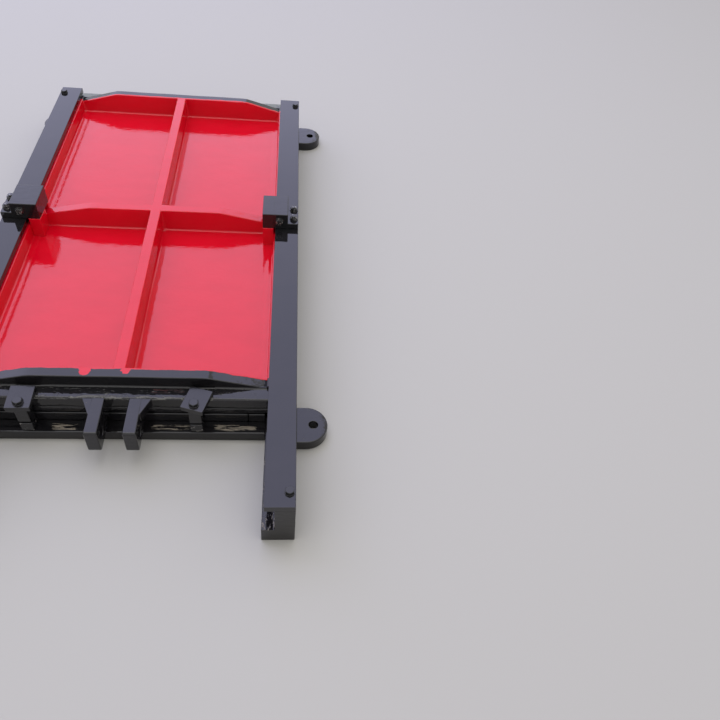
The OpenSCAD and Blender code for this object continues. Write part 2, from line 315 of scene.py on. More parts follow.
def block(corner: Array | Place, opposite: Array | Place, edge: float, axis: Axis = Axis.Z,
          spacing: float = 0.0) -> Shell:
    """A block with rounded edges: a rounded rectangle carried along an axis.

    Args:
        corner: One of its corners.
        opposite: The corner farthest from that one.
        edge: Radius of its edges.
        axis: Direction in which the rectangle is carried.
        spacing: As a prism's.

    Returns:
        The closed shell.
    """
    low, high = np.minimum(corner, opposite), np.maximum(corner, opposite)
    across = [k for k in range(3) if k != axis.value]
    outline = rounded(rectangle(low[across], high[across]), edge * 1.05)  # still an arc when drawn in
    return prism(outline, axis, low[axis.value], high[axis.value], edge, spacing)


def holed(outline: Array, hole: Pair, radius: float, axis: Axis, span: Pair, edge: float) -> Shell:
    """A plate with a round hole.

    The rings of a closed path run up the plate's rim, in over its upper face, down the hole's wall and out
    over its lower face. The rim's rings are the outline, drawn in towards the faces. The hole's points lie at
    hole + (r + w) u, where u points to the outline's points and w grows towards the faces.

    Args:
        outline: The plate's outline, which sees the hole's centre from everywhere.
        hole: The hole's centre in the outline's plane.
        radius: The hole's radius.
        axis: Direction of the hole.
        span: Lowest and highest level along that axis.
        edge: Radius of the plate's edges; the hole's edges get half of it.

    Returns:
        The closed shell.
    """
    rim = divided(outline, radius / 3)
    outward = unit(rim - np.array(hole))
    low, high = span
    inset, back = quarter_round(edge, 3)
    outer = drawn_in(rim, np.concatenate([inset[::-1], inset]))
    flare, sink = quarter_round(edge / 2, 2)
    widening = np.concatenate([flare[::-1], flare])
    inner = np.array(hole) + radius * outward + widening[:, None, None] * outward
    levels = np.concatenate([low + back[::-1], high - back, high - sink[::-1], low + sink])
    return carry(place(np.concatenate([outer, inner]), levels[:, None], axis), loop=True)


def turned(radii: list[float], levels: Array, centre: Pair, axis: Axis, flat: float = math.inf) -> Shell:
    """A profile turned about an axis, cut to a hexagon if flat is given.

    The radius at angle t is the smaller of the profile's own and flat / cos(t'), where t' is the angle from
    the middle of the nearest of six flats.

    Args:
        radii: The profile's radii.
        levels: Its levels along the axis.
        centre: The axis's place in the plane across it.
        axis: Direction of the axis.
        flat: Half the width across flats.

    Returns:
        The closed shell.
    """
    sixth = math.pi / 3
    angle = np.arange(RING_POINTS) * 2 * math.pi / RING_POINTS
    from_flat = (angle + sixth / 2) % sixth - sixth / 2
    size = np.minimum(np.array(radii)[:, None], flat / np.cos(from_flat))
    section = np.array(centre) + size[..., None] * np.stack([np.cos(angle), np.sin(angle)], -1)
    return carry(place(section, levels[:, None], axis))


@dataclass
class Box:
    """A CAD node's box at rest."""

    low: Array
    high: Array

    @classmethod
    def of(cls, node: str) -> Box:
        """The box of a named node."""
        low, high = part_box(node)
        return cls(np.array(low), np.array(high))

    @property
    def middle(self) -> Array:
        """The box's middle."""
        return (self.low + self.high) / 2

    def reach(self, axis: Axis = Axis.X) -> list[float]:
        """The box's two levels along an axis, the one nearer the gate's middle first."""
        return sorted((self.low[axis.value], self.high[axis.value]), key=abs)


def both_sides(kind: str) -> Iterator[tuple[str, int, Box]]:
    """Goes through the left and the right part of a kind.

    Args:
        kind: The nodes' names without the side.

    Yields:
        Each part's node, sign of X and box.
    """
    for side, sign in SIDES.items():
        node = f"{kind}_{side}"
        yield node, sign, Box.of(node)


# Finishes: shader maths as Python expressions


class Wire:
    """A number that varies over a surface: an output socket with Python's own operators."""

    def __init__(self, graph: Graph, socket: Socket) -> None:
        """Wraps a socket of a graph."""
        self.graph = graph
        self.socket = socket

    def __add__(self, other: Wire | float) -> Wire:
        """Sum."""
        return self.graph.maths("ADD", self, other)

    def __sub__(self, other: Wire | float) -> Wire:
        """Difference."""
        return self.graph.maths("SUBTRACT", self, other)

    def __rsub__(self, other: float) -> Wire:
        """Difference from a number."""
        return self.graph.maths("SUBTRACT", other, self)

    def __mul__(self, other: Wire | float) -> Wire:
        """Product."""
        return self.graph.maths("MULTIPLY", self, other)

    __radd__ = __add__
    __rmul__ = __mul__

    def above(self, level: float, softness: float) -> Wire:
        """A mask that rises from 0 to 1 across a level.

        Args:
            level: The value at which it is one half.
            softness: The range of values over which it rises.

        Returns:
            The mask.
        """
        settings = {"interpolation_type": "SMOOTHSTEP", "clamp": True}
        sockets = {"Value": self, "From Min": level - softness / 2, "From Max": level + softness / 2}
        return Wire(self.graph, self.graph.add("ShaderNodeMapRange", settings, sockets).outputs["Result"])

    def either(self, other: Wire) -> Wire:
        """The larger of two masks."""
        return self.graph.maths("MAXIMUM", self, other)


class Graph:
    """A material's node tree."""

    def __init__(self, name: str, owner: bpy.types.ID | None = None) -> None:
        """Starts a material, or the world that is given, with an empty tree."""
        self.material = owner or bpy.data.materials.new(name)
        self.material.use_nodes = True
        self.tree = self.material.node_tree
        self.tree.nodes.clear()

    def add(self, kind: str, settings: dict[str, Any], sockets: dict[str | int, Any]) -> bpy.types.Node:
        """Adds one node.

        Args:
            kind: The node's type.
            settings: Attributes to set first.
            sockets: A value, a Wire or an output socket for each named or numbered input.

        Returns:
            The node.
        """
        node = self.tree.nodes.new(kind)
        for name, value in settings.items():
            setattr(node, name, value)
        for name, value in sockets.items():
            source = value.socket if isinstance(value, Wire) else value
            if isinstance(source, Socket):
                self.tree.links.new(source, node.inputs[name])
            else:
                node.inputs[name].default_value = source
        return node

    def maths(self, operation: str, *values: Wire | float) -> Wire:
        """One Math node on wires and numbers."""
        node = self.add("ShaderNodeMath", {"operation": operation}, dict(enumerate(values)))
        return Wire(self, node.outputs[0])

    def where(self) -> Socket:
        """The point's place on the gate, in metres."""
        return self.add("ShaderNodeTexCoord", {}, {}).outputs["Object"]

    def coordinate(self, axis: Axis) -> Wire:
        """One coordinate of the point's place."""
        return Wire(self, self.add("ShaderNodeSeparateXYZ", {}, {0: self.where()}).outputs[axis.value])

    def noise(self, size: float | Place, detail: float = 2.0, rough: float = 0.5, twist: float = 0.0) -> Wire:
        """Smooth noise from 0 to 1.

        Args:
            size: Size of its features in metres, or their size along each axis.
            detail: Number of finer layers.
            rough: Strength of the finer layers.
            twist: How much it is distorted.

        Returns:
            The noise.
        """
        sizes = (size,) * 3 if isinstance(size, float) else size
        scale = tuple(1 / s for s in sizes)
        mapped = self.add("ShaderNodeMapping", {}, {"Vector": self.where(), "Scale": scale}).outputs[0]
        sockets = {"Vector": mapped, "Scale": 1.0, "Detail": detail, "Roughness": rough, "Distortion": twist}
        return Wire(self, self.add("ShaderNodeTexNoise", {"noise_dimensions": "3D"}, sockets).outputs[0])

    def mixed(self, mask: Wire | float, first: Any, second: Any) -> Socket:
        """Mixes two colours.

        Args:
            mask: 0 where the first shows, 1 where the second does.
            first: A colour, or a socket.
            second: A colour, or a socket.

        Returns:
            The mixed colour.
        """
        settings = {"data_type": "RGBA", "clamp_factor": True}
        colours = [(*c, 1.0) if isinstance(c, tuple) else c for c in (first, second)]
        return self.add("ShaderNodeMix", settings, {0: mask, 6: colours[0], 7: colours[1]}).outputs[2]

    def seen_directly(self) -> Wire:
        """1 where the surface is seen, in a reflection or through glass too, and 0 for the light it gives."""
        path = self.add("ShaderNodeLightPath", {}, {})
        camera, glossy, through = (
            Wire(self, path.outputs[f"Is {ray} Ray"]) for ray in ("Camera", "Glossy", "Transmission"))
        return camera.either(glossy).either(through)

    def close(self, colour: Socket, dull: Wire, height: Wire, **others: Any) -> Material:
        """Ends the tree with the main shader.

        Args:
            colour: Its base colour.
            dull: Its roughness.
            height: How far the surface is raised, in metres.
            others: Values for further sockets, by name.

        Returns:
            The material.
        """
        relief = self.add("ShaderNodeBump", {}, {"Strength": 1.0, "Distance": 1.0, "Height": height})
        sockets = {"Base Color": colour, "Roughness": dull, "Normal": relief.outputs[0], **others}
        shader = self.add("ShaderNodeBsdfPrincipled", {}, sockets)
        self.add("ShaderNodeOutputMaterial", {}, {"Surface": shader.outputs[0]})
        return self.material


@dataclass(frozen=True)
class Overlay:
    """Dried mud, dust or overspray on one part of the gate, or a painted highlight.

    It lies in a box between two corners, in streaks of the grain's size, wherever their noise is over the
    rarity. It hides the paint by its cover, dulls it and stands up by its thickness.
    """

    tone: Place
    low: Place
    high: Place
    rarity: float
    grain: Place
    fade: Place = (0.08, 0.006, 0.003)
    blend: float = 0.04
    cover: float = 0.9
    dulling: float = 0.5
    thickness: float = 0.0002

    def mask(self, graph: Graph) -> Wire:
        """1 where noise * inside > rarity, so that it thins out in streaks towards the box's sides.

        Args:
            graph: The material's node tree.

        Returns:
            The mask.
        """
        amount = graph.noise(self.grain, 5.0, 0.7, 0.6)
        for axis, low, high, fade in zip(Axis, self.low, self.high, self.fade):
            at = graph.coordinate(axis)
            amount = amount * at.above(low, fade) * (1 - at.above(high, fade))
        return amount.above(self.rarity, self.blend)


@dataclass(frozen=True)
class Enamel:
    """Thick brushed enamel on cast iron, with overlays of dirt where it was not wiped and of painted
    highlights.
    """

    name: str
    tone: Place
    worn_tone: Place
    gloss: float = 0.045
    gloss_range: float = 0.05
    swell: float = 0.00048
    strokes: float = 0.0006
    peel: float = 0.00006
    overlays: tuple[Overlay, ...] = ()

    def coat(self, graph: Graph) -> Socket:
        """The paint's colour, a little thinner or thicker in patches."""
        patches = graph.noise((0.18, 0.09, 0.09), 4.0, 0.6).above(0.5, 0.45)
        return graph.mixed(patches, self.tone, self.worn_tone)

    def dullness(self, graph: Graph) -> Wire:
        """The paint's roughness, which varies about its gloss from place to place."""
        return graph.noise(0.03, 3.0, 0.6) * self.gloss_range + (self.gloss - self.gloss_range / 2)

    def height(self, graph: Graph) -> Wire:
        """The casting's swells under the paint, brush strokes and orange peel.

        Args:
            graph: The material's node tree.

        Returns:
            The height in metres.
        """
        swell = graph.noise(0.07, 1.0) * self.swell
        brush = graph.noise((0.035, 0.014, 0.014), 2.0, 0.55) * self.strokes
        return swell + brush + graph.noise(0.006, 2.0, 0.6) * self.peel

    def build(self) -> Material:
        """Builds the material."""
        graph = Graph(self.name)
        colour = self.coat(graph)
        dull = self.dullness(graph)
        height = self.height(graph)
        for overlay in self.overlays:
            mask = overlay.mask(graph)
            colour = graph.mixed(mask * overlay.cover, colour, overlay.tone)
            dull = dull + mask * overlay.dulling
            height = height + mask * overlay.thickness
        return graph.close(colour, dull, height, IOR=1.5)


@dataclass(frozen=True)
class Drip:
    """A run of red paint over the black: its middle and width across the gate, and where it ends along it."""

    middle: float
    width: float
    end: float
    ragged: float = 0.02

    def mask(self, graph: Graph) -> Wire:
        """1 where |p - m| < w / 2, measured from the run's axis and round its end, with an uneven edge.

        Args:
            graph: The material's node tree.

        Returns:
            The mask.
        """
        shake = (graph.noise(0.012, 2.0) - 0.5) * self.ragged
        across = graph.coordinate(Axis.X) + shake - self.middle
        below = graph.maths("MAXIMUM", self.end + self.width / 2 - graph.coordinate(Axis.Y), 0.0)
        return 1 - graph.maths("SQRT", across * across + below * below).above(self.width / 2, PAINT_EDGE)


@dataclass(frozen=True)
class TwoTone:
    """Red enamel between two brushed borders across the gate, and black enamel beyond them.

    The drips run out of the red into the black, but only above the drip level.
    """

    name: str
    red: Enamel
    black: Enamel
    start: float = -FAR
    end: float = FAR
    drips: tuple[Drip, ...] = ()
    drip_level: float = 0.0
    ragged: float = 0.012
    red_height: float = 0.0003

    def build(self) -> Material:
        """Builds the material."""
        graph = Graph(self.name)
        shake = (graph.noise((0.05, 0.02, 0.02), 3.0, 0.5) - 0.5) * self.ragged
        y = graph.coordinate(Axis.Y) + shake
        red_mask = y.above(self.start, PAINT_EDGE) * (1 - y.above(self.end, PAINT_EDGE))
        on_top = graph.coordinate(Axis.Z).above(self.drip_level, PAINT_EDGE)
        for drip in self.drips:
            red_mask = red_mask.either(drip.mask(graph) * on_top)
        colour = graph.mixed(red_mask, self.black.coat(graph), self.red.coat(graph))
        height = self.black.height(graph) + red_mask * self.red_height
        return graph.close(colour, self.red.dullness(graph), height, IOR=1.5)


@dataclass(frozen=True)
class Bronze:
    """Machined bronze of the sealing strips, with cutter marks and dull stains."""

    name: str
    tone: Place
    stain: Place

    def build(self) -> Material:
        """Builds the material."""
        graph = Graph(self.name)
        stains = graph.noise(0.05, 5.0, 0.65).above(0.58, 0.2)
        marks = graph.noise((0.0012, 0.06, 0.06), 2.0, 0.6)
        colour = graph.mixed(stains, self.tone, self.stain)
        dull = stains * 0.25 + marks * 0.15 + 0.2
        return graph.close(colour, dull, marks * 0.00003, Metallic=1 - stains * 0.4)


@dataclass(frozen=True)
class Fixing:
    """Painted steel of bolts and nuts, with bare worn corners."""

    name: str
    tone: Place
    bare: Place
    wear: float

    def build(self) -> Material:
        """Builds the material."""
        graph = Graph(self.name)
        worn = graph.noise(0.008, 4.0, 0.7).above(1 - self.wear, 0.1)
        colour = graph.mixed(worn, self.tone, self.bare)
        grain = graph.noise(0.004, 2.0)
        dull = grain * 0.1 + worn * 0.25 + 0.08
        return graph.close(colour, dull, grain * 0.00005 + worn * -0.00008, Metallic=worn * 0.8)


class Finishes:
    """The gate's finishes, each built once."""

    def __init__(self) -> None:
        """Builds the finishes; paint borders, dirt and painted highlights lie where the frame's own boxes put
        them.
        """
        top, bottom = Box.of("rib_top"), Box.of("rib_bottom")
        red = Enamel("red_enamel", (0.65, 0.003, 0.018), (0.605, 0.002, 0.015))
        black = Enamel("black_enamel", (0.008, 0.008, 0.010), (0.012, 0.011, 0.013))
        self.red = red.build()
        self.black = black.build()
        self.strip = replace(black, name="black_strip", swell=0.00016, strokes=0.00003, peel=0.00003).build()
        self.clamp = replace(black, name="clamp_black", gloss=0.22, swell=0.00008).build()
        self.scuffed = replace(black, name="scuffed_black", overlays=self.scuffs(0.68)).build()
        self.muddy = replace(black, name="muddy_black", overlays=self.flange_mud()).build()
        self.groove = replace(black, name="groove_black", overlays=self.groove_grit_and_edge_highlights()).build()
        self.post = replace(black, name="dusty_post", overlays=self.scuffs(0.62)).build()
        self.top_bar = replace(black, name="top_bar_black", overlays=self.top_bar_dust()).build()
        self.bottom_bar = replace(black, name="bottom_bar_black", overlays=self.bottom_bar_pale_patches()).build()
        drips = (Drip(-0.114, 0.038, -0.9235), Drip(0.0245, 0.033, -0.914))
        self.top_rib = TwoTone("red_over_black", red, black, start=top.high[1] - 0.006, drips=drips,
                               drip_level=top.high[2] - 0.004).build()
        self.bottom_rib = TwoTone("black_over_red", red, black, end=bottom.low[1] + 0.009).build()
        self.plate = TwoTone("red_with_black_ends", red, black, top.middle[1], bottom.middle[1]).build()
        self.side_rib = TwoTone("red_side_rib", red, black, top.high[1] - 0.004,
                                bottom.low[1] + 0.004).build()
        self.bronze = Bronze("bronze_seal", (0.56, 0.36, 0.16), (0.16, 0.12, 0.07)).build()
        self.fixing = Fixing("black_fixings", (0.014, 0.014, 0.016), (0.42, 0.41, 0.39), 0.22).build()
        self.worn_fixing = Fixing("worn_fixings", (0.02, 0.02, 0.022), (0.34, 0.33, 0.32), 0.42).build()

    def scuffs(self, rarity: float) -> tuple[Overlay, ...]:
        """A few pale specks anywhere, fewer with a higher rarity."""
        return (Overlay((0.24, 0.23, 0.22), (-FAR,) * 3, (FAR,) * 3, rarity, (0.03, 0.009, 0.012)),)

    def flange_mud(self) -> tuple[Overlay, ...]:
        """Mud dried in streaks on the top of the frame's upper flange, in three stretches."""
        flange = Box.of("clamp_post_left").low[2]
        near = Box.of("frame_top").low[1] + 0.006
        far = Box.of("leaf_top_bar").low[1] - 0.012
        return tuple(
            Overlay((0.26, 0.23, 0.19), (start, near, flange - 0.003), (end, far, flange + 0.004), 0.51,
                   (0.07, 0.007, 0.02), (0.10, 0.016, 0.003))
            for start, end in ((-0.27, -0.12), (0.08, 0.27), (0.30, 0.51)))

    def groove_grit_and_edge_highlights(self) -> tuple[Overlay, ...]:
        """Pale grit in the grooves at the guides' top ends, and painted highlights down the two edges of the
        right guide's end.
        """
        guide = Box.of("guide_right")
        foot = Box.of("frame_top").high[2] - Guides.foot_down
        inner = Box.of("side_rib_right").high[0] + Guides.web_gap
        end, top = guide.low[1], guide.high[2] - 0.02
        grit = Overlay((0.20, 0.18, 0.17), (-inner, -FAR, foot - 0.004), (inner, end + 0.30, foot + 0.01),
                      0.58, (0.010, 0.03, 0.012), (0.002, 0.002, 0.002))
        # Pale lines at the groove's two edges on the guide's end are painted highlights, where those edges
        # catch the light.
        edge_highlights = (
            Overlay((0.22, 0.21, 0.20), (x - 0.002, -FAR, foot), (x + 0.002, end + 0.05, top), 0.38,
                   (0.006, 0.03, 0.03), (0.002, 0.002, 0.01))
            for x in (guide.low[0] + 0.0025, inner - 0.004))
        return grit, *edge_highlights

    def top_bar_dust(self) -> tuple[Overlay, ...]:
        """Dust along the near edge of the leaf's top bar, specks all over it and red overspray by the rib."""
        bar = Box.of("leaf_top_bar")
        face, near, far = bar.high[2], bar.low[1], bar.high[1]
        dust = Overlay((0.12, 0.12, 0.115), (bar.low[0], near - 0.01, face - 0.008),
                      (0.34, near + 0.015, face + 0.01), 0.51, (0.05, 0.010, 0.012), (0.05, 0.006, 0.002))
        specks = Overlay((0.10, 0.10, 0.10), (bar.low[0], near, face - 0.004),
                        (0.50, far, face + 0.01), 0.63, (0.03, 0.004, 0.01), (0.05, 0.006, 0.002))
        spray = Overlay((0.04, 0.001, 0.003), (0.10, far - 0.03, face - 0.004),
                       (0.24, far - 0.004, face + 0.01), 0.56, (0.03, 0.006, 0.01), (0.04, 0.008, 0.002))
        return dust, specks, spray

    def bottom_bar_pale_patches(self) -> tuple[Overlay, ...]:
        """Pale greenish-grey patches over the top of the leaf's bottom bar."""
        bar = Box.of("leaf_bottom_bar")
        low = (bar.low[0], bar.low[1], bar.high[2] - 0.006)
        high = (bar.high[0], bar.high[1], bar.high[2] + 0.01)
        return (Overlay((0.20, 0.22, 0.20), low, high, 0.42, (0.05, 0.02, 0.02), (0.02, 0.01, 0.002), 0.3),)


# Assemblies


def linked(name: str, data: bpy.types.ID) -> bpy.types.Object:
    """Adds an object to the scene.

    Args:
        name: Its name.
        data: What it shows: a mesh, a lamp or a camera.

    Returns:
        The object.
    """
    item = bpy.data.objects.new(name, data)
    bpy.context.scene.collection.objects.link(item)
    return item


@dataclass
class Assembly:
    """What the sub-assemblies share: a body to ride on, the finishes and the ways to show a piece."""

    finishes: Finishes
    body: str = "frame"
    cast_edge: float = 0.0045
    bar_edge: float = 0.0016
    seal_edge: float = 0.0006

    def show(self, name: str, shell: Shell, finish: Material, slot: Slot, *nodes: str) -> None:
        """Turns a shell into a piece that rides on the body in place of CAD nodes.

        Args:
            name: The piece's name.
            shell: Its mesh.
            finish: Its material.
            slot: Not used.
            nodes: The CAD nodes that it stands for.
        """
        mesh = bpy.data.meshes.new(name)
        mesh.from_pydata(shell.points, [], [*shell.quads.tolist(), *(cap.tolist() for cap in shell.caps)])
        mesh.shade_smooth()
        mesh.set_sharp_from_angle(angle=SHARP_TURN)
        mesh.materials.append(finish)
        piece = linked(name, mesh)
        weighted = piece.modifiers.new("even_shading", "WEIGHTED_NORMAL")
        weighted.keep_sharp = True
        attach(piece, self.body)
        if nodes:
            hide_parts(*nodes)
        log.info("%s: %d points, %d faces", name, len(mesh.vertices), len(mesh.polygons))

    def cast(self, node: str, shell: Shell, finish: Material, slot: Slot = Slot.BLACK) -> None:
        """Shows the casting that stands for one node."""
        self.show(f"{node}_casting", shell, finish, slot, node)

    def build_block(self, node: str, form: str, finish: Material, edge: float, axis: Axis,
                    spacing: float) -> None:
        """Shows a rounded block in the place of one node's box.

        Args:
            node: The CAD node.
            form: Last word of the piece's name.
            finish: Its material.
            edge: Radius of its edges.
            axis: Direction along which it is carried.
            spacing: Distance between its rings.
        """
        box = Box.of(node)
        self.show(f"{node}_{form}", block(box.low, box.high, edge, axis, spacing), finish, Slot.BLACK, node)

    def build_seals(self, sides: str, ends: str) -> None:
        """Builds the four bronze strips of one sealing face.

        Args:
            sides: Node of the two strips along the waterway's sides.
            ends: Node of the two strips across its ends.
        """
        side_box, end_box = Box.of(sides), Box.of(ends)
        width = side_box.low[1] - end_box.low[1]
        for node, box, across, run in ((sides, side_box, Axis.X, Axis.Y), (ends, end_box, Axis.Y, Axis.X)):
            first_high, second_low = box.high.copy(), box.low.copy()
            first_high[across.value] = box.low[across.value] + width
            second_low[across.value] = box.high[across.value] - width
            first = block(box.low, first_high, self.seal_edge, run)
            second = block(second_low, box.high, self.seal_edge, run)
            self.show(f"{node}_strips", first + second, self.finishes.bronze, Slot.BRONZE, node)


@dataclass(frozen=True)
class Fastener:
    """A hexagon bolt, or a nut on its stud, seated on a washer.

    The shares are of half the width across flats: the head's chamfer is a cone that narrows from the corner
    share by the draw share while it climbs the chamfer share.
    """

    flats: float
    washer: float
    thread: float
    head: float = 0.011
    washer_height: float = 0.003
    washer_edge: float = 0.0006
    washer_bevel: float = 0.0008
    chamfer: float = 0.18
    corner: float = 1.16
    draw: float = 0.22
    foot: float = 0.98
    foot_height: float = 0.0004
    pitch: float = 0.002
    thread_depth: float = 0.0009
    thread_sunk: float = 0.001
    thread_end: float = 0.0015
    stud: float = 0.006

    def shell(self, across: Pair, seat: float, axis: Axis, kind: Head, sign: int = 1) -> Shell:
        """The fastener's mesh, whose parts are profiles of radii and heights above the seat, turned.

        Args:
            across: Its place in the plane across its axis.
            seat: Level of the face under the washer.
            axis: Direction of its axis.
            kind: Bolt head or nut.
            sign: 1 if it stands towards the axis's positive end, -1 if not.

        Returns:
            The closed shells of washer, head and thread as one mesh.
        """
        flat, disc = self.flats / 2, self.washer / 2
        lip = self.washer_height
        top = lip + self.head
        heights = [0, self.washer_edge, lip - self.washer_bevel, lip]
        parts = [([disc - self.washer_edge, disc, disc, disc - self.washer_bevel], heights, math.inf)]
        cone = np.linspace(0, 1, 5)
        reach = flat * self.corner - flat * self.draw * cone
        rise = top - flat * self.chamfer * (1 - cone)
        heights = [lip, lip + self.foot_height, *rise]
        parts.append(([flat * self.foot, flat * self.corner, *reach], heights, flat))
        if kind is Head.NUT:
            steps = np.arange(int(self.stud / self.pitch * 2) + 1)
            radii = self.thread / 2 - self.thread_depth * (steps % 2)
            heights = [*(top - self.thread_sunk + steps * self.pitch / 2), top + self.stud]
            parts.append(([*radii, radii[-1] - self.thread_end], heights, math.inf))
        first, *others = (
            turned(radii, seat + sign * np.array(rises), across, axis, cut) for radii, rises, cut in parts)
        return sum(others, first)


SMALL = Fastener(0.027, 0.034, 0.018)
LARGE = Fastener(0.030, 0.037, 0.020)


@dataclass
class Frame(Assembly):
    """The cast frame round the waterway, its anchor ears and its sealing strips."""

    hole_radius: float = 0.017
    hole_reach: float = 0.688
    ear_half: float = 0.080

    def build(self) -> None:
        """Builds the frame's pieces."""
        black = self.finishes.black
        for side in SIDES:
            self.build_block(f"frame_side_{side}", "casting", black, self.cast_edge, Axis.Y, spacing=0.06)
        self.build_ends()
        self.build_ears()
        self.build_seals("frame_seal_sides", "frame_seal_ends")

    def build_ends(self) -> None:
        """The frame's two ends: a seat block between the sides and a flange that stands out of it."""
        inner = Box.of("frame_side_right").low[0]
        plate = Box.of("leaf_plate")
        flange_top = Box.of("anchor_ear_top_left").high[2]
        for node, edge_y in (("frame_top", plate.low[1]), ("frame_sill", plate.high[1])):
            box = Box.of(node)
            seat_in, out = box.reach(Axis.Y)
            low, high, edge = box.low, box.high, self.cast_edge
            seat = block((-inner, edge_y, 0.0), (inner, seat_in, high[2]), edge, Axis.X, spacing=0.05)
            flange = block((low[0], out, 0.0), (high[0], edge_y, flange_top), edge, Axis.X, spacing=0.03)
            self.cast(node, seat + flange, self.finishes.muddy)

    def build_ears(self) -> None:
        """Four round-nosed ears with an anchor hole each."""
        half = self.ear_half
        arc = np.linspace(-QUARTER, QUARTER, 25)
        for node, sign, box in (*both_sides("anchor_ear_top"), *both_sides("anchor_ear_bottom")):
            inner, outer = box.reach()
            nose, y = outer - sign * half, box.middle[1]
            tip = np.stack([nose + sign * half * np.cos(arc), y + half * np.sin(arc)], 1)
            outline = np.vstack([tip, [[inner, y + half], [inner, y - half]]])
            shell = holed(outline, (sign * self.hole_reach, y), self.hole_radius, Axis.Z,
                          (box.low[2], box.high[2]), self.cast_edge)
            self.cast(node, shell, self.finishes.scuffed)


@dataclass
class Guides(Assembly):
    """The two guides with their cover strips, wedge brackets and bolts.

    A guide's foot ends foot_down below the frame's seat, and its web stands web_gap from the leaf's side rib.
    A bracket's block reaches overhang_clear past the strip, and from there its nose slopes over the leaf.
    """

    foot_down: float = 0.018
    web_gap: float = 0.009
    guide_edge: float = 0.0009
    bracket_edge: float = 0.003
    flange: float = 0.028
    overhang_clear: float = 0.007
    overlap: float = 0.004
    wedge_slope: float = math.tan(math.radians(4))
    block_width: float = 0.110
    screw_reach: float = 0.541
    screw_rise: float = 0.040
    screw_in: float = 0.0015

    def build(self) -> None:
        """Builds the pieces of both guides."""
        strip = self.finishes.strip
        for side, sign in SIDES.items():
            self.build_guide(side, sign)
            self.build_block(f"cover_strip_{side}", "bar", strip, self.bar_edge, Axis.Y, spacing=0.05)
            self.build_bracket(side, sign)
            self.build_bolts(side)

    def build_guide(self, side: str, sign: int) -> None:
        """The guide's cast web and foot, whose section is an L carried along the guide.

        Args:
            side: Left or right.
            sign: That side's sign of X.
        """
        node = f"guide_{side}"
        box = Box.of(node)
        foot_x = box.reach()[0]
        out_x = Box.of(f"anchor_ear_top_{side}").reach()[0]
        web_x = Box.of(f"side_rib_{side}").reach()[1] + sign * self.web_gap
        foot_z, top = Box.of("frame_top").high[2] - self.foot_down, box.high[2]
        corners = [(foot_x, 0.0), (out_x, 0.0), (out_x, top), (web_x, top), (web_x, foot_z), (foot_x, foot_z)]
        outline = rounded(corners, [0.003, 0.003, 0.001, 0.001, 0.006, 0.004], 5)
        shell = prism(outline, Axis.Y, box.low[1], box.high[1], self.guide_edge, spacing=0.05)
        self.cast(node, shell, self.finishes.groove)

    def build_bracket(self, side: str, sign: int) -> None:
        """The wedge bracket: a block on the strip, a sloping nose over the leaf and a bolting flange.

        Args:
            side: Left or right.
            sign: That side's sign of X.
        """
        node = f"wedge_bracket_{side}"
        box = Box.of(node)
        strip = Box.of(f"cover_strip_{side}")
        low_y, high_y, top = box.low[1], box.high[1], box.high[2]
        inner, outer = box.reach()
        foot = strip.high[2]
        block_out = inner + sign * self.block_width
        rest_x = strip.reach()[0] - sign * self.overhang_clear
        drop = self.wedge_slope * (high_y - low_y)
        edge = self.bracket_edge
        section = rounded([(low_y, foot), (high_y, foot - drop), (high_y, top), (low_y, top)], edge)
        nose = prism(section, Axis.X, *sorted((inner, rest_x + sign * self.overlap)), edge)
        body = block((rest_x, low_y, foot), (block_out, high_y, top), edge)
        flange_in = block_out - sign * self.overlap
        flange = block((flange_in, low_y, foot), (outer, high_y, foot + self.flange), edge)
        screw_place = (sign * self.screw_reach, foot + self.screw_rise)
        screw = SMALL.shell(screw_place, low_y + self.screw_in, Axis.Y, Head.BOLT, -1)
        self.cast(node, nose + body + flange, self.finishes.black)
        self.show(f"wedge_screw_{side}", screw, self.finishes.worn_fixing, Slot.FIXINGS)

    def build_bolts(self, side: str) -> None:
        """The strip's end bolts and the bracket's nuts.

        Args:
            side: Left or right.
        """
        strip_top = Box.of(f"cover_strip_{side}").high[2]
        for node, size, seat, kind, finish in (
            (f"strip_bolts_{side}", SMALL, strip_top, Head.BOLT, self.finishes.fixing),
            (f"bracket_bolts_{side}", LARGE, strip_top + self.flange, Head.NUT, self.finishes.worn_fixing),
        ):
            box = Box.of(node)
            half = (box.high[0] - box.low[0]) / 2
            first = size.shell((box.middle[0], box.low[1] + half), seat, Axis.Z, kind)
            second = size.shell((box.middle[0], box.high[1] - half), seat, Axis.Z, kind)
            self.show(f"{node}_set", first + second, finish, Slot.FIXINGS, node)


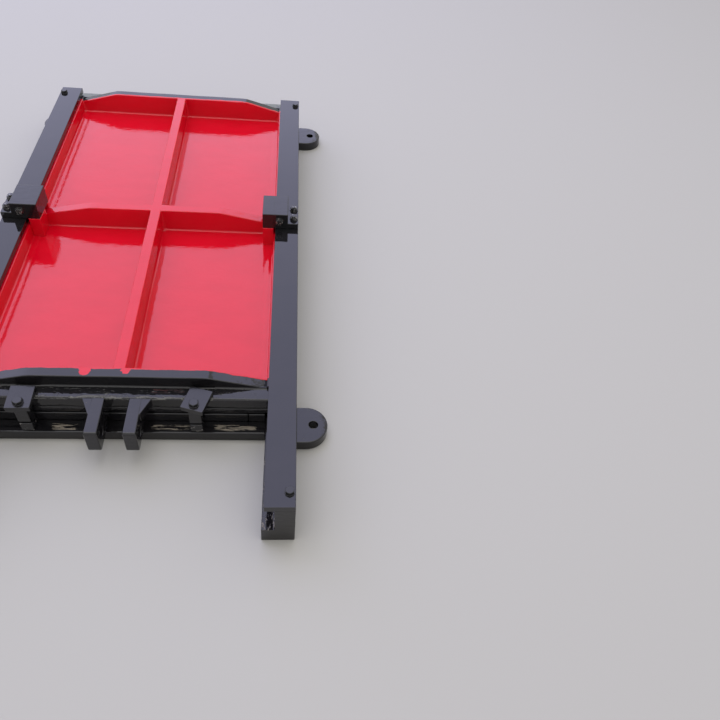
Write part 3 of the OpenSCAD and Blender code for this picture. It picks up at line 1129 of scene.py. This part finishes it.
@dataclass
class Leaf(Assembly):
    """The sliding leaf: plate, edge bars, ribs, wedge blocks and sealing strips.

    Each crest is the length over which a cross rib keeps its full height. The ledge and the ramp are the low
    raised border beside a side rib, and a seam is the fillet between a bar and the rib beside it.
    """

    body: str = "leaf"
    waver: float = 0.0006
    waver_length: float = 0.45
    fillet: float = 0.008
    rib_width: float = 0.043
    rib_end: float = 0.052
    rib_edge: float = 0.0035
    rib_lap: float = 0.004
    crests: tuple[float, float, float] = (0.610, 0.550, 0.675)
    crest_blend: float = 0.0016
    corner: float = 0.018
    corner_edge: float = 0.003
    corner_back: float = 0.006
    corner_swell: float = 0.6
    corner_top: float = 0.3
    corner_down: float = 0.002
    station: float = 0.022
    plate_edge: float = 0.003
    thick_bar_edge: float = 0.007
    seam_fillet: float = 0.006
    seam_back: float = 0.003
    ledge: float = 0.016
    ledge_height: float = 0.0019
    ramp: float = 0.022
    side_end_edge: float = 0.0002
    wedge_edge: float = 0.003

    def build(self) -> None:
        """Builds the leaf's pieces."""
        self.build_plate()
        self.build_bars()
        self.build_cross_ribs()
        self.build_upright_ribs()
        self.build_side_ribs()
        self.build_wedge_blocks()
        self.build_seals("leaf_seal_sides", "leaf_seal_ends")

    @property
    def face(self) -> float:
        """Level of the plate's face."""
        return Box.of("leaf_plate").high[2]

    def wavered(self, shell: Shell, seed: int, share: float = 1.0) -> Shell:
        """The shell with the leaf's castings' waver, or a share of it."""
        return shell.wavered(self.waver * share, self.waver_length, seed)

    def stations(self, low: float, high: float) -> Array:
        """Even stations along a rib from a low to a high level."""
        return np.linspace(low, high, int((high - low) / self.station))

    def cross_height(self, x: Array, crest: float) -> Array:
        """Height of a cross rib at x.

        It is the smooth minimum of the crest's height and a straight slope up from the low end,
        (a + b - sqrt((a - b)^2 + s^2)) / 2, with s small.

        Args:
            x: Places along the rib.
            crest: Length over which the rib keeps its full height.

        Returns:
            The height at each place.
        """
        box = Box.of("rib_middle")
        top = box.high[2] - self.face
        end = box.high[0]
        slope = (top - self.rib_end) / (end - crest / 2)
        line = self.rib_end + slope * (end - np.abs(x))
        return (top + line - np.sqrt((top - line) ** 2 + self.crest_blend ** 2)) / 2

    def rib(self, axis: Axis, along: Array, middle: float, heights: Array) -> Shell:
        """A cast rib that stands on the plate.

        Its half section runs from the toe of a concave fillet, at width / 2 + f (1 - sin t) across and
        f (1 - cos t) up, along the wall and round the top edge, at width / 2 - e (1 - cos t) across and
        h - e (1 - sin t) up, for t from 0 to 90 degrees. The other half is its mirror image, and h changes
        along the rib.

        Args:
            axis: Direction in which the rib runs, X or Y.
            along: Stations along the rib.
            middle: Place of the rib's middle plane across it.
            heights: The rib's height above the plate at each station.

        Returns:
            The closed shell.
        """
        up, out = quarter_round(self.fillet)
        inset, back = quarter_round(self.rib_edge)
        wall = np.linspace(0, 1, 4)[1:-1]
        across = np.concatenate([[self.fillet], out, np.zeros_like(wall), -inset]) + self.rib_width / 2
        fixed = np.concatenate([[-SUNK], up, self.fillet * (1 - wall) - self.rib_edge * wall, -back])
        rise = np.concatenate([[0.0], np.zeros_like(up), wall, np.ones_like(back)])
        across = middle + np.concatenate([across, -across[::-1]])
        fixed = np.concatenate([fixed, fixed[::-1]])
        rise = np.concatenate([rise, rise[::-1]])
        level = self.face + fixed + rise * heights[:, None]
        section = np.stack(np.broadcast_arrays(across, level), -1)
        return self.wavered(carry(place(section, along[:, None], axis)), 11)

    def corner_fillet(self, corner: Pair, toward: tuple[int, int], height: float) -> Shell:
        """The casting's rounding where two ribs meet, from its foot to their top.

        A section of distance d from the walls and level z is carried through a quarter turn: the point at
        angle a is corner + (r - d) (cos a, sin a) - r, turned towards the corner, where the radius r shrinks
        from the foot to the top. The foot's fillet grows by sin^2 2a there.

        Args:
            corner: Where the two walls would meet.
            toward: Signs of X and Y from the panel's middle to the corner.
            height: Height of the rounding.

        Returns:
            The closed shell.
        """
        turn = np.linspace(0, QUARTER, 11)
        foot_radius = self.fillet * (1 + self.corner_swell * np.sin(2 * turn) ** 2)[:, None]
        one = np.ones_like(foot_radius)
        up, out = quarter_round(foot_radius)
        inset, back = quarter_round(self.corner_edge * one)
        behind = self.corner_back * one
        gap = np.hstack([foot_radius, out, -inset, -behind, -behind])
        level = np.hstack([-SUNK * one, up, height - back, height * one, -SUNK * one])
        share = 1 - (1 - self.corner_top) * np.clip(level / height, 0, 1)
        size = (self.corner * share)[..., None]
        direction = np.stack([np.cos(turn), np.sin(turn)], -1)[:, None]
        plan = np.array(corner) + ((size - gap[..., None]) * direction - size) * np.array(toward)
        return carry(place(plan, self.face + level, Axis.Z))

    def build_plate(self) -> None:
        """The plate, with the castings' roundings where its ribs meet."""
        box = Box.of("leaf_plate")
        shell = self.wavered(block(box.low, box.high, self.plate_edge, Axis.Y, spacing=0.03), 5, share=0.5)
        side_in = Box.of("side_rib_right").low[0]
        upright = self.rib_width / 2
        low = self.rib_end - 2 * self.corner_down
        top, middle, bottom = (Box.of(f"rib_{name}") for name in RIBS)
        walls = zip((top.high[1], middle.low[1], middle.high[1], bottom.low[1]), (-1, 1, -1, 1), (0, 1, 1, 2))
        for y, toward, which in walls:
            tall = float(self.cross_height(np.array(upright), self.crests[which])) - self.corner_down
            for sign in SIDES.values():
                shell += self.corner_fillet((sign * upright, y), (-sign, toward), tall)
                shell += self.corner_fillet((sign * side_in, y), (sign, toward), low)
        self.cast("leaf_plate", shell, self.finishes.plate, Slot.RED)

    def build_bars(self) -> None:
        """The thick bars along the leaf's top and bottom edges."""
        for node, wall_node, sign, finish in (
            ("leaf_top_bar", "rib_top", -1, self.finishes.top_bar),
            ("leaf_bottom_bar", "rib_bottom", 1, self.finishes.bottom_bar),
        ):
            box, wall = Box.of(node), Box.of(wall_node)
            bar = self.wavered(block(box.low, box.high, self.thick_bar_edge, Axis.X, spacing=0.03), 7)
            seam = self.seam(wall.reach(Axis.Y)[1], box.high[2], sign, wall.high[0])
            self.cast(node, bar + self.wavered(seam, 11), finish)

    def seam(self, wall: float, level: float, sign: int, reach: float) -> Shell:
        """A seam along X, whose section lies f (1 - sin t) out from the wall and f (1 - cos t) up.

        Args:
            wall: Y of the rib's wall.
            level: Z of the bar's top.
            sign: Sign of Y from the wall to the bar.
            reach: Half the seam's length.

        Returns:
            The closed shell.
        """
        up, out = quarter_round(self.seam_fillet)
        back = self.seam_back
        out = np.concatenate([[self.seam_fillet], out, [-back, -back]])
        up = np.concatenate([[-back], up, [self.seam_fillet, -back]])
        section = np.stack([wall + sign * out, level + up], 1)
        return carry(place(section, self.stations(-reach, reach)[:, None], Axis.X))

    def build_cross_ribs(self) -> None:
        """The three ribs across the leaf, level in the middle and low at their ends."""
        finishes = (self.finishes.top_rib, self.finishes.red, self.finishes.bottom_rib)
        for name, crest, finish in zip(RIBS, self.crests, finishes):
            node = f"rib_{name}"
            box = Box.of(node)
            reach = box.high[0] + self.rib_lap
            along = self.stations(-reach, reach)
            shell = self.rib(Axis.X, along, box.middle[1], self.cross_height(along, crest))
            self.cast(node, shell, finish, Slot.RED)

    def build_upright_ribs(self) -> None:
        """The rib along the leaf's middle, in two lengths that run a little into the cross ribs."""
        below_crest = 0.0001
        for node, start, end in (("upright_rib_upper", 0.003, 0.040), ("upright_rib_lower", 0.010, 0.003)):
            box = Box.of(node)
            along = self.stations(box.low[1] - start, box.high[1] + end)
            heights = np.full_like(along, box.high[2] - self.face - below_crest)
            self.cast(node, self.rib(Axis.Y, along, 0.0, heights), self.finishes.red, Slot.RED)

    def build_side_ribs(self) -> None:
        """The ribs along the leaf's sides, partly under the cover strips.

        From the rib's wall the section runs down a fillet of the usual form to the ledge, and then down the
        ramp, where the ledge's height falls as (1 - s)^2.
        """
        for node, sign, box in both_sides("side_rib"):
            inner, outer = box.reach()
            foot, top = box.low[2], box.high[2]
            rise, out = quarter_round(self.fillet)
            slope = np.linspace(0, 1, 6)
            away = np.concatenate([out[::-1], self.ledge + self.ramp * slope])
            up = np.concatenate([self.ledge_height + rise[::-1], self.ledge_height * (1 - slope) ** 2])
            head = rounded([(outer, foot - SUNK), (outer, top), (inner, top), (inner, foot)],
                           [0.0005, 0.004, 0.004, 0.0002], 6)
            toe = np.stack([inner - sign * away, foot + up], 1)
            head = head[head[:, 1] > toe[0, 1] + 0.001]  # without the corners at the foot
            outline = np.vstack([head, toe, [[toe[-1, 0], foot - SUNK], [outer, foot - SUNK]]])
            shell = prism(outline, Axis.Y, box.low[1], box.high[1], self.side_end_edge, spacing=0.04)
            self.cast(node, self.wavered(shell, 13, share=0.5), self.finishes.side_rib, Slot.RED)

    def build_wedge_blocks(self) -> None:
        """The red bosses that the wedge brackets press on: a sloping profile carried across."""
        rib_box = Box.of("rib_middle")
        for node, _, box in both_sides("wedge_block"):
            foot, top = self.face - SUNK, box.high[2]
            parts = []
            for low_y, high_y in ((box.low[1], rib_box.low[1] + SUNK), (rib_box.high[1] - SUNK, box.high[1])):
                fall_low, fall_high = (Guides.wedge_slope * (y - box.low[1]) for y in (low_y, high_y))
                corners = [(low_y, foot), (high_y, foot), (high_y, top - fall_high), (low_y, top - fall_low)]
                section = rounded(corners, self.wedge_edge)
                parts.append(prism(section, Axis.X, box.low[0], box.high[0], self.wedge_edge))
            self.cast(node, parts[0] + parts[1], self.finishes.red, Slot.RED)


@dataclass
class LiftingLugs(Assembly):
    """The two lugs that take the lifting pin, each with a gusset on its outer side."""

    body: str = "leaf"
    width: float = 0.045
    hole_radius: float = 0.020
    hole_in: float = 0.047
    gusset_length: float = 0.082
    gusset_depth: float = 0.040
    gusset_lap: float = 0.006
    gusset_down: float = 0.0006
    gusset_edge: float = 0.002

    def build(self) -> None:
        """Builds both lugs."""
        for node, sign, box in both_sides("lifting_lug"):
            inner, tip = box.reach()
            outer = inner + sign * self.width
            root, top = box.high[1] + SUNK, box.high[2]
            outline = rounded(rectangle(box.low[1:], (root, top)), [0.012, 0.001, 0.001, 0.008], 6)
            hole = (box.low[1] + self.hole_in, box.middle[2])
            span = tuple(sorted((inner, outer)))
            lug = holed(outline, hole, self.hole_radius, Axis.X, span, self.cast_edge)
            back = outer - sign * self.gusset_lap
            plan = rounded([(back, root), (tip, root), (back, box.high[1] - self.gusset_length)],
                           [0.0005, 0.003, 0.004], 5)
            gusset = prism(plan, Axis.Z, top - self.gusset_depth, top - self.gusset_down, self.gusset_edge)
            self.cast(node, lug + gusset, self.finishes.scuffed)


@dataclass
class TransportClamps(Assembly):
    """The plates that clamp the leaf's top edge to the frame for transport, each turned about its bolt."""

    body: str = "leaf"
    plate_width: float = 0.082
    plate_length: float = 0.098
    plate_height: float = 0.020
    plate_edge: float = 0.003
    stub_edge: float = 0.004
    turns: Pair = (1.5, -17.0)  # left and right, in degrees

    def build(self, frame_part: Assembly) -> None:
        """Builds both clamps; their posts stand on the frame, the rest rides on the leaf.

        Args:
            frame_part: An assembly that rides on the frame.
        """
        black, dusty, edge = self.finishes.black, self.finishes.post, self.stub_edge
        for side, turn in zip(SIDES, self.turns):
            self.build_plate(side, math.radians(turn))
            self.build_block(f"clamp_spacer_{side}", "bar", black, edge, Axis.Z, spacing=0.02)
            frame_part.build_block(f"clamp_post_{side}", "stub", dusty, edge, Axis.Z, spacing=0.02)

    def build_plate(self, side: str, turn: float) -> None:
        """The clamp's plate, turned about its bolt, and the bolt.

        Args:
            side: Left or right.
            turn: The plate's turn.
        """
        bolt_node, plate_node = f"clamp_bolt_{side}", f"clamp_plate_{side}"
        centre = Box.of(bolt_node).middle[:2]
        foot = Box.of("leaf_top_bar").high[2]
        seat = foot + self.plate_height
        wide, long = self.plate_width / 2, self.plate_length / 2
        off = (Box.of(plate_node).middle[1] - centre[1]) / math.cos(turn)
        flat = rounded(rectangle((-wide, off - long), (wide, off + long)), self.plate_edge)
        spin = np.array([[math.cos(turn), math.sin(turn)], [-math.sin(turn), math.cos(turn)]])
        shell = prism(flat @ spin + centre, Axis.Z, foot, seat, self.bar_edge)
        screw = LARGE.shell((centre[0], centre[1]), seat, Axis.Z, Head.BOLT)
        self.show(f"{plate_node}_steel", shell, self.finishes.clamp, Slot.BLACK, plate_node)
        self.show(f"{bolt_node}_head", screw, self.finishes.fixing, Slot.FIXINGS, bolt_node)


# The shot


@dataclass(frozen=True)
class SoftLight:
    """A large soft panel that faces the gate's middle, then moved and rolled in its own plane."""

    name: str
    width: float
    height: float
    radiance: float
    colour: Place = SKY
    azimuth: float = -15.0
    elevation: float = 47.0
    distance: float = 9.0
    shift: float = 0.0
    rise: float = 0.0
    roll: float = 0.0
    watts_per_radiance: float = 4.0

    def build(self) -> None:
        """Builds the lamp, facing the gate."""
        lamp = bpy.data.lights.new(self.name, "AREA")
        lamp.shape = "RECTANGLE"
        lamp.size = self.width
        lamp.size_y = self.height
        lamp.energy = self.radiance * self.watts_per_radiance * self.width * self.height
        lamp.color = self.colour
        holder = linked(self.name, lamp)
        a, e, r = (math.radians(angle) for angle in (self.azimuth, self.elevation, self.roll))
        toward = np.array([math.sin(a) * math.cos(e), math.cos(a) * math.cos(e), math.sin(e)])
        level = np.array([math.cos(a), -math.sin(a), 0.0])
        across = math.cos(r) * level + math.sin(r) * np.cross(level, toward)
        upward = np.cross(across, toward)
        holder.location = toward * self.distance + across * self.shift + upward * self.rise
        holder.rotation_euler = Matrix((across, -upward, toward)).transposed().to_euler()
        holder.visible_camera = False


@dataclass
class Studio:
    """The camera, the floor and the light."""

    lens: float = 34.13042621890873
    sensor: float = 36.0
    eye: Place = (0.5869, -2.4846, 2.1161)
    tilt: Place = (41.29358855855301, -5.326168372297706, -3.1522836534228224)
    floor_tone: float = 0.48
    fill: float = 0.85
    fill_tone: Place = (1.0, 0.965, 0.90)
    floor_side: float = 80.0
    fade: Pair = (6.0, 18.0)
    panels: tuple[SoftLight, ...] = (
        SoftLight("sky_panel", 11.2, 10.5, 1.20, shift=-2.53, roll=5.0),
        SoftLight("side_panel", 1.25, 1.3, 1.20, shift=3.90, rise=-1.0),
        SoftLight("roof_panel", 6.0, 3.2, 1.45, (1.0, 0.97, 0.92), azimuth=0.0, elevation=90.0, distance=7.0),
        SoftLight("corner_panel", 1.5, 1.6, 1.05, shift=4.43, rise=2.0),
    )

    def build(self) -> None:
        """Builds the camera, the floor, the world and the lamps."""
        self.build_camera()
        self.build_floor()
        self.build_world()
        for panel in self.panels:
            panel.build()
        bpy.context.scene.view_settings.view_transform = "Standard"

    def build_camera(self) -> None:
        """The camera at the photograph's place."""
        data = bpy.data.cameras.new("camera")
        data.lens = self.lens
        data.sensor_width = self.sensor
        data.clip_start = 0.05
        data.clip_end = 200
        camera = linked("camera", data)
        camera.location = self.eye
        camera.rotation_euler = Euler([math.radians(t) for t in self.tilt], "XYZ")
        bpy.context.scene.camera = camera

    def build_floor(self) -> None:
        """A plain pale floor under the gate, which turns into the white surroundings far away from it."""
        half = self.floor_side / 2
        mesh = bpy.data.meshes.new("floor")
        corners = np.array(rectangle((-half, -half), (half, half)))
        mesh.from_pydata(place(corners, 0.0, Axis.Z), [], [(0, 1, 2, 3)])
        graph = Graph("pale_floor")
        x, y = graph.coordinate(Axis.X), graph.coordinate(Axis.Y)
        far = graph.maths("SQRT", x * x + y * y).above(sum(self.fade) / 2, self.fade[1] - self.fade[0])
        tone = (*(self.floor_tone,) * 3, 1.0)
        matt = graph.add("ShaderNodeBsdfDiffuse", {}, {"Color": tone}).outputs[0]
        glow = graph.add("ShaderNodeEmission", {}, {"Strength": graph.seen_directly()}).outputs[0]
        mixed = graph.add("ShaderNodeMixShader", {}, {0: far, 1: matt, 2: glow}).outputs[0]
        graph.add("ShaderNodeOutputMaterial", {}, {"Surface": mixed})
        mesh.materials.append(graph.material)
        floor = linked("floor", mesh)

    def build_world(self) -> None:
        """A soft even fill; seen directly or in a reflection the surroundings are white."""
        world = bpy.data.worlds.new("world")
        bpy.context.scene.world = world
        graph = Graph("world", world)
        seen = graph.seen_directly()
        tone = graph.mixed(seen, self.fill_tone, WHITE)
        sockets = {"Color": tone, "Strength": seen * (1 - self.fill) + self.fill}
        background = graph.add("ShaderNodeBackground", {}, sockets).outputs[0]
        graph.add("ShaderNodeOutputWorld", {}, {"Surface": background})


def main() -> None:
    """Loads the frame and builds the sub-assemblies in order."""
    logging.basicConfig(level=logging.INFO, format="%(name)s: %(message)s")
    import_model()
    finishes = Finishes()
    Studio().build()
    frame_part = Frame(finishes)
    frame_part.build()
    Guides(finishes).build()
    Leaf(finishes).build()
    LiftingLugs(finishes).build()
    TransportClamps(finishes).build(frame_part)


if __name__ == "__main__":
    main()
